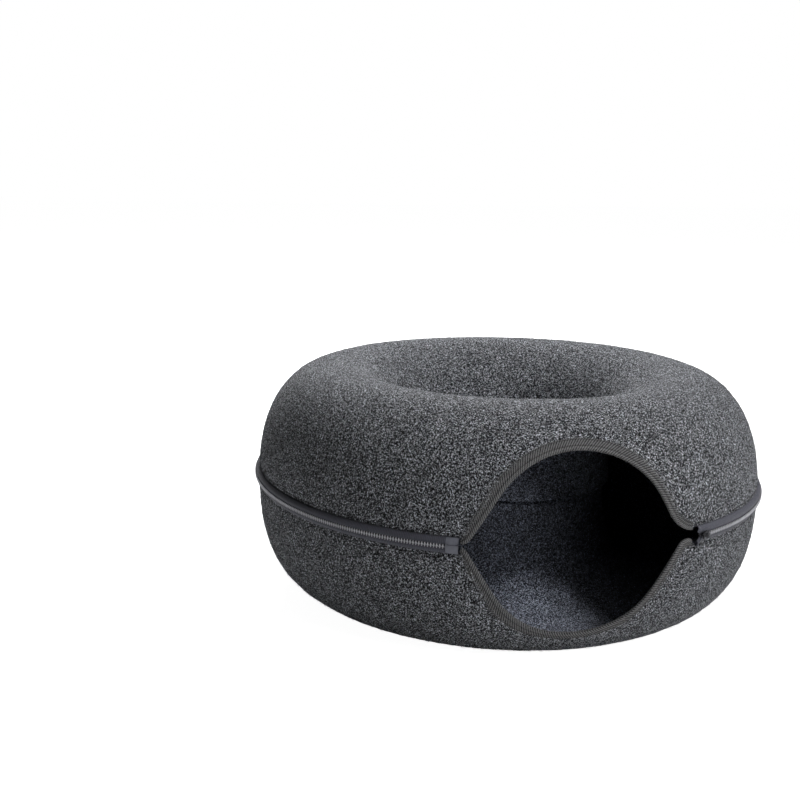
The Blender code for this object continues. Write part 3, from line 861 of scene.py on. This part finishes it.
class Look:
    """A material and its nodes, each helper giving the output of the node that it adds."""

    def __init__(self, name, roughness, **settings):
        self.material = bpy.data.materials.new(name)
        self.material.use_nodes = True
        self.tree = self.material.node_tree
        self.shader = self.tree.nodes["Principled BSDF"]
        self.feed(Roughness=roughness, **settings)

    def feed(self, **inputs):
        for name, value in inputs.items():
            fill(self.tree, self.shader.inputs[name.replace("_", " ")], value)

    def cloth(self):
        """What the shader's colour is fed with so far."""
        return self.shader.inputs["Base Color"].links[0].from_socket

    def place(self):
        return add(self.tree, "ShaderNodeTexCoord").outputs["Object"]

    def strip(self, name="Cloth"):
        """Places along and across a strip, from one of its own maps in metres."""
        spot = add(self.tree, "ShaderNodeUVMap", uv_map=name).outputs[0]
        parts = add(self.tree, "ShaderNodeSeparateXYZ", {0: spot}).outputs
        return parts["X"], parts["Y"]

    def maths(self, operation, *values):
        return add(self.tree, "ShaderNodeMath", dict(enumerate(values)),
                   operation=operation).outputs[0]

    def mottle(self, width, detail):
        """Noise with patches of a given width."""
        return add(self.tree, "ShaderNodeTexNoise", {
            "Vector": self.place(), "Scale": 1 / width, "Detail": detail}).outputs["Fac"]

    def spread(self, value, low, high, least=0.0, most=1.0):
        """Stretches the values between low and high to run from least to most."""
        return add(self.tree, "ShaderNodeMapRange", {
            "Value": value, "From Min": low, "From Max": high, "To Min": least,
            "To Max": most}).outputs[0]

    def mix(self, share, first, second):
        return add(self.tree, "ShaderNodeMix", {"Factor": share, "A": first, "B": second},
                   data_type="RGBA").outputs["Result"]

    def emboss(self, height, strength, distance):
        bump = add(self.tree, "ShaderNodeBump",
                   {"Height": height, "Strength": strength, "Distance": distance})
        self.feed(Normal=bump.outputs[0])


def felt_material(name, shades, contrast):
    """Needled polyester felt: staple fibres of three shades, tangled and hot-pressed.

    The eye sees short pale and black fibres lying every way over charcoal, a soft matt
    surface and a faint bloom of fibre ends towards the outline. The face that was pressed
    on the mould is calmer, so it is given less contrast. Real fibres are 0.03 mm thick;
    tufts of them are drawn about 0.5 mm across so that they show.
    """
    look = Look(name, 0.95, Sheen_Weight=0.10, Sheen_Roughness=0.45, Specular_IOR_Level=0.2)
    dark, middle, light = (opaque(shade) for shade in shades)
    across, along = 0.95 * MM, 3.1 * MM
    place, tufts = look.place(), []
    for tilt, heading in FIBRE_DIRECTIONS:
        lying = add(look.tree, "ShaderNodeMapping", {
            "Vector": place, "Rotation": (0.0, tilt, heading),
            "Scale": (across, across, along)}, vector_type="TEXTURE")
        tufts.append(add(look.tree, "ShaderNodeTexNoise", {
            "Vector": lying.outputs[0], "Scale": 1.0, "Detail": 1.0, "Roughness": 0.5,
            "Distortion": 0.25}).outputs["Fac"])
    high = low = tufts[0]
    for tuft in tufts[1:]:
        high, low = look.maths("MAXIMUM", high, tuft), look.maths("MINIMUM", low, tuft)
    # Tufts that lie high are pale and those that lie low are black
    relief, level = look.maths("ADD", high, low), 1.01
    black = look.spread(relief, level, level - 0.032 / contrast)
    pale = look.spread(relief, level, level + 0.036 / contrast)
    cloud = look.spread(look.mottle(14 * MM, 3.0), 0.35, 0.65, 0.88, 1.12)
    grain = look.spread(look.mottle(1.5 * MM, 0.0), 0.35, 0.65, 1 - 0.85 * contrast,
                        1 + 0.85 * contrast)
    heather = look.mix(pale, look.mix(black, middle, dark), light)
    shaded = add(look.tree, "ShaderNodeVectorMath", {
        0: heather, "Scale": look.maths("MULTIPLY", cloud, grain)}, operation="SCALE")
    look.feed(Base_Color=shaded.outputs[0])
    look.emboss(relief, 1.0, 2.0 * MM)
    return look.material


def fibre_material(finish):
    """Loose staple fibres of the same felt, paler because each one catches the light."""
    look = Look("Loose_Polyester_Fibre", 0.7, Sheen_Weight=0.2, Specular_IOR_Level=0.3)
    share = look.spread(look.mottle(3.0 * MM, 0.0), 0.38, 0.66)
    look.feed(Base_Color=look.mix(share, opaque(finish.felt_dark), opaque(finish.felt_light)))
    return look.material


def woven_look(name, yarn, shade, pitches, slant, roughness, sheen):
    """Ribs of a woven tape, along and across the strip's own map."""
    look = Look(name, roughness, Sheen_Weight=sheen, Specular_IOR_Level=0.3)
    along, across = look.strip()
    slanted = look.maths("SUBTRACT", along, look.maths("MULTIPLY", across, slant))
    first, second = (look.maths("COSINE", look.maths("MULTIPLY", place, 2 * math.pi / pitch))
                     for place, pitch in zip((slanted, across), pitches))
    weave = look.maths("MULTIPLY_ADD", second, 0.35, first)
    worn = look.maths("MULTIPLY_ADD", look.mottle(1.6 * MM, 2.0), 2.4, weave)
    look.feed(Base_Color=look.mix(look.spread(worn, 0.1, 2.3), opaque(shade), opaque(yarn)))
    look.emboss(worn, 0.6, 0.25 * MM)
    return look


def binding_material(finish, opening):
    """Polyester twill tape, folded and sewn flat: slanting ribs, matt, grey on near black.

    The real ribs are 1.9 mm apart and are drawn at 2.8 mm so that they show. The fold, the
    ridge beside it and the hem get painted highlights, and the grooves beside them painted shade.
    """
    look = woven_look("Polyester_Twill_Tape", finish.binding, finish.binding_dark,
                      (opening.rib, opening.rib / 2), opening.slant, 0.85, 0.2)
    # pale is the yarn lightened for painted highlights, dark the rib shade darkened for painted
    # shade
    pale, dark = opaque(finish.binding, 1.5), opaque(finish.binding_dark, 0.8)
    # Painted highlights on the fold, the ridge and the hem, and painted shade in the grooves beside
    # them
    painted_light_bands = (
        # map, middle of the band in millimetres, half of its width, shade, the shade's share
        ("Cloth", 2.4, 0.8, dark, 0.75),
        ("Hem", 1.5, 0.7, dark, 0.7),
        ("Cloth", 1.3, 0.7, pale, 0.10),
        ("Hem", 0.3, 0.6, pale, 0.18),
        ("Cloth", 0.1, 0.6, pale, 0.22),
    )
    for name, middle, half, shade, share in painted_light_bands:
        across = look.strip(name)[1]
        off = look.maths("ABSOLUTE", look.maths("SUBTRACT", across, middle * MM))
        band = look.spread(off, 0.0, half * MM, share, 0.0)
        look.feed(Base_Color=look.mix(band, look.cloth(), shade))
    return look.material


def tape_material(finish):
    """Woven polyester zip tape: close fine ribs along its length and a slight sheen.

    The real ribs are 0.3 mm apart and are drawn at 0.9 mm so that they show.
    """
    dark = opaque(finish.tape, 0.6)[:3]
    return woven_look("Woven_Polyester_Zip_Tape", finish.tape, dark, (1.8 * MM, 0.9 * MM), 0.0,
                      0.6, 0.3).material


def nylon_look(name, base, roughness):
    """Nylon thread or film: satin, and worn a little paler in places."""
    look = Look(name, roughness, IOR=1.53)
    worn = look.mottle(6 * MM, 3.0)
    look.feed(Base_Color=look.mix(worn, opaque(base, 0.75), opaque(base, 1.2)))
    look.emboss(worn, 0.3, 0.1 * MM)
    return look


def coil_material(finish):
    """Dyed nylon thread of the coil: pale, rubbed strands in front of dark ones with painted shade.

    The strands that lie back against the tape get painted shade, so they look near black.
    """
    look = nylon_look("Nylon_Coil", finish.coil, 0.35)
    # Strands towards the back are mixed to a near black colour: painted shade where the front
    # strands and the tape shade them
    front = look.spread(look.strip()[1], -0.1, 0.55)
    look.feed(Base_Color=look.mix(front, opaque(finish.coil_back_shade), look.cloth()))
    return look.material


def thread_material(finish):
    """Spun polyester sewing thread: dull, with a fine twist."""
    look = Look("Spun_Polyester_Thread", 0.75, Sheen_Weight=0.2)
    twist = look.mottle(0.8 * MM, 2.0)
    look.feed(Base_Color=look.mix(twist, opaque(finish.thread, 0.5), opaque(finish.thread, 1.8)))
    return look.material


def slider_material(finish):
    """Lacquered die-cast zinc: dark satin lacquer, rubbed a little in scattered patches."""
    look = Look("Lacquered_Die_Cast_Zinc", 0.35, Metallic=0.6)
    rubbed = look.mottle(2.5 * MM, 4.0)
    wear = look.spread(rubbed, 0.50, 0.62)
    look.feed(Base_Color=look.mix(wear, opaque(finish.metal), opaque(finish.metal_worn)),
              Roughness=look.spread(rubbed, 0.0, 1.0, 0.28, 0.48))
    return look.material


def floor_material(stage):
    """Matt painted board, lit a little from within so that it stays pale all over."""
    look = Look("Matt_Painted_Board", 0.9, Specular_IOR_Level=0.1, Emission_Color=WHITE,
                Base_Color=opaque(stage.floor))
    seen = add(look.tree, "ShaderNodeLightPath").outputs["Is Camera Ray"]
    look.feed(Emission_Strength=look.maths("MULTIPLY", seen, stage.floor_glow))
    return look.material


# Stage ----------------------------------------------------------------------------------


def set_looking(scene, item, place, aim, roll=0.0):
    """Stands a camera or lamp at a place, looking at another."""
    scene.collection.objects.link(item)
    place = Vector(place)
    turned = (Vector(aim) - place).to_track_quat("-Z", "Y").to_matrix().to_4x4()
    item.matrix_world = Matrix.Translation(place) @ turned @ Matrix.Rotation(roll, 4, "Z")


def direction(around, height):
    """Unit vector from a turn round the cave from its opening, and a height, in degrees."""
    around, height = math.radians(around), math.radians(height)
    return Vector((math.sin(around) * math.cos(height), -math.cos(around) * math.cos(height),
                   math.sin(height)))


def build_lamp(scene, name, kind, power, place, aim, **settings):
    lamp = bpy.data.lights.new(name, kind)
    lamp.energy = power
    for field, value in settings.items():
        setattr(lamp, field, value)
    item = bpy.data.objects.new(name, lamp)
    set_looking(scene, item, place, aim)
    return item


def build_lamps(scene, stage):
    """Four large lamps round the cave, and two small ones just inside the opening's top.

    The small ones shine down, as the light that comes in through the opening would: one on
    the floor, one on the wall of the hole.
    """
    outside = (
        # name, power, turn round the cave from its opening, height in degrees
        ("Front_Light", stage.front_light, 40, 25),
        ("High_Light", stage.high_light, 180, 50),
        ("Top_Light", stage.top_light, 78, 70),
        ("Back_Light", stage.back_light, 180, 25),
    )
    middle, distance = Vector((0.0, 0.0, 0.1)), 2.5
    for name, power, around, height in outside:
        place = middle + distance * direction(around, height)
        build_lamp(scene, name, "AREA", power, place, middle, size=0.8)
    inside = (
        # name, power, place, aim, width in degrees
        ("Floor_Light", stage.floor_light, (-0.004, -0.250, 0.195), (-0.006, -0.197, 0.0), 48),
        ("Wall_Light", stage.wall_light, (-0.038, -0.222, 0.200), (-0.036, -0.150, 0.05), 95),
    )
    for name, power, place, aim, width in inside:
        lit = build_lamp(scene, name, "SPOT", power, place, aim, shadow_soft_size=0.003,
                         spot_size=math.radians(width), spot_blend=1.0)
        lit.visible_camera = False


def build_floor(scene, finish):
    half, drop = 15.0, 0.0002
    mesh = bpy.data.meshes.new("floor")
    corners = [(x * half, y * half, 0.0) for x, y in ((-1, -1), (1, -1), (1, 1), (-1, 1))]
    mesh.from_pydata(corners, [], [(0, 1, 2, 3)])
    mesh.materials.append(finish)
    floor = bpy.data.objects.new("floor", mesh)
    floor.location.z = -drop
    scene.collection.objects.link(floor)


def build_surround(scene, strength):
    """White to look at, and dim as a light, so that the lamps shape the felt."""
    world = bpy.data.worlds.new("Surround")
    world.use_nodes = True
    scene.world = world
    tree = world.node_tree
    dim = tree.nodes["Background"]
    fill(tree, dim.inputs["Color"], WHITE)
    fill(tree, dim.inputs["Strength"], strength)
    white = add(tree, "ShaderNodeBackground", {"Color": WHITE, "Strength": 1.0})
    seen = add(tree, "ShaderNodeLightPath").outputs["Is Camera Ray"]
    mix = add(tree, "ShaderNodeMixShader", {0: seen, 1: dim.outputs[0], 2: white.outputs[0]})
    fill(tree, tree.nodes["World Output"].inputs["Surface"], mix.outputs[0])


# Operators ------------------------------------------------------------------------------


class OBJECT_OT_cave_felt(bpy.types.Operator):
    """Build the two moulded felt halves and the fibres that stand out of them"""

    bl_idname = "object.cave_felt"
    bl_label = "Felt Halves"
    bl_options = {"REGISTER", "UNDO"}

    def execute(self, context):
        cave = Cave(context.scene)
        finish = cave.finish
        fibre = fibre_material(finish)
        outer = felt_material("Needled_Polyester_Felt",
                              (finish.felt_dark, finish.felt_middle, finish.felt_light), 1.0)
        # Inner face: bluish colours are painted shade of the dim inside; the lower contrast is the
        # calmer moulded face
        inner = felt_material("Moulded_Felt_Inner_Face",
                              (finish.shaded_inner_dark, finish.shaded_inner_middle, finish.shaded_inner_light), 0.5)
        for seed, half in enumerate(HALVES):
            outside = felt_shell(cave, half, (outer, inner))
            loose_fibres(outside, finish.fibres, seed, "felt_fibres_" + half, fibre)
        return {"FINISHED"}


class OBJECT_OT_cave_binding(bpy.types.Operator):
    """Build the folded tapes round the opening and their stitches"""

    bl_idname = "object.cave_binding"
    bl_label = "Binding"
    bl_options = {"REGISTER", "UNDO"}

    def execute(self, context):
        cave = Cave(context.scene)
        tape, thread = binding_material(cave.finish, cave.opening), thread_material(cave.finish)
        for half in HALVES:
            binding_strip(cave, half, tape)
            binding_stitches(cave, half, thread)
        return {"FINISHED"}


class OBJECT_OT_cave_zip(bpy.types.Operator):
    """Build the zip: tapes, coil, end films, seam stitches and slider"""

    bl_idname = "object.cave_zip"
    bl_label = "Zip"
    bl_options = {"REGISTER", "UNDO"}

    def execute(self, context):
        cave = Cave(context.scene)
        finish = cave.finish
        tape, thread = tape_material(finish), thread_material(finish)
        for half in HALVES:
            zip_tape(cave, half, tape)
            zip_stitches(cave, half, thread)
        zip_coil(cave, coil_material(finish))
        end_films(cave, nylon_look("Melted_Nylon_Film", finish.film, 0.45).material)
        slider(cave, slider_material(finish))
        return {"FINISHED"}


class OBJECT_OT_cave_cloth(bpy.types.Operator):
    """Do nothing: the cloth that each felt half was cut from is not worked out here"""

    bl_idname = "object.cave_cloth"
    bl_label = "Cloth Sizes"
    bl_options = {"REGISTER", "UNDO"}

    def execute(self, context):
        return {"FINISHED"}


class OBJECT_OT_cave_stage(bpy.types.Operator):
    """Build the floor, the lights, the surround and the camera"""

    bl_idname = "object.cave_stage"
    bl_label = "Stage"
    bl_options = {"REGISTER", "UNDO"}

    def execute(self, context):
        scene, stage = context.scene, context.scene.cave_stage
        build_floor(scene, floor_material(stage))
        build_lamps(scene, stage)
        build_surround(scene, stage.surround)
        camera = bpy.data.cameras.new("Camera")
        camera.sensor_fit, camera.sensor_width, camera.lens = "HORIZONTAL", 36.0, stage.lens
        camera.clip_start = 0.01
        scene.camera = bpy.data.objects.new("Camera", camera)
        set_looking(scene, scene.camera, stage.camera_place, stage.camera_aim, stage.camera_roll)
        scene.view_settings.view_transform = "Standard"
        return {"FINISHED"}


class VIEW3D_PT_cave(bpy.types.Panel):
    """Lists the cave's operators and sizes"""

    bl_idname = "VIEW3D_PT_cave"
    bl_label = "Felt Cat Cave"
    bl_space_type = "VIEW_3D"
    bl_region_type = "UI"
    bl_category = "Cat Cave"

    def draw(self, context):
        for operator in OPERATORS:
            self.layout.operator(operator.bl_idname)
        for name, kind in GROUPS.items():
            box = self.layout.box()
            box.label(text=kind.__doc__)
            for field in kind.__annotations__:
                box.prop(getattr(context.scene, name), field)


OPERATORS = (OBJECT_OT_cave_felt, OBJECT_OT_cave_binding, OBJECT_OT_cave_zip,
             OBJECT_OT_cave_cloth, OBJECT_OT_cave_stage)
GROUPS = {
    "cave_ring": CaveRing,
    "cave_opening": CaveOpening,
    "cave_upper_edge": CaveUpperEdge,
    "cave_lower_edge": CaveLowerEdge,
    "cave_zip": CaveZip,
    "cave_finish": CaveFinish,
    "cave_stage": CaveStage,
}


def register():
    for kind in (*GROUPS.values(), *OPERATORS, VIEW3D_PT_cave):
        bpy.utils.register_class(kind)
    for name, kind in GROUPS.items():
        setattr(bpy.types.Scene, name, PointerProperty(type=kind))


def unregister():
    for name in GROUPS:
        delattr(bpy.types.Scene, name)
    for kind in reversed((*GROUPS.values(), *OPERATORS, VIEW3D_PT_cave)):
        bpy.utils.unregister_class(kind)


def main():
    register()
    bpy.ops.object.cave_felt()
    bpy.ops.object.cave_binding()
    bpy.ops.object.cave_zip()
    bpy.ops.object.cave_cloth()
    bpy.ops.object.cave_stage()


if __name__ == "__main__":
    main()
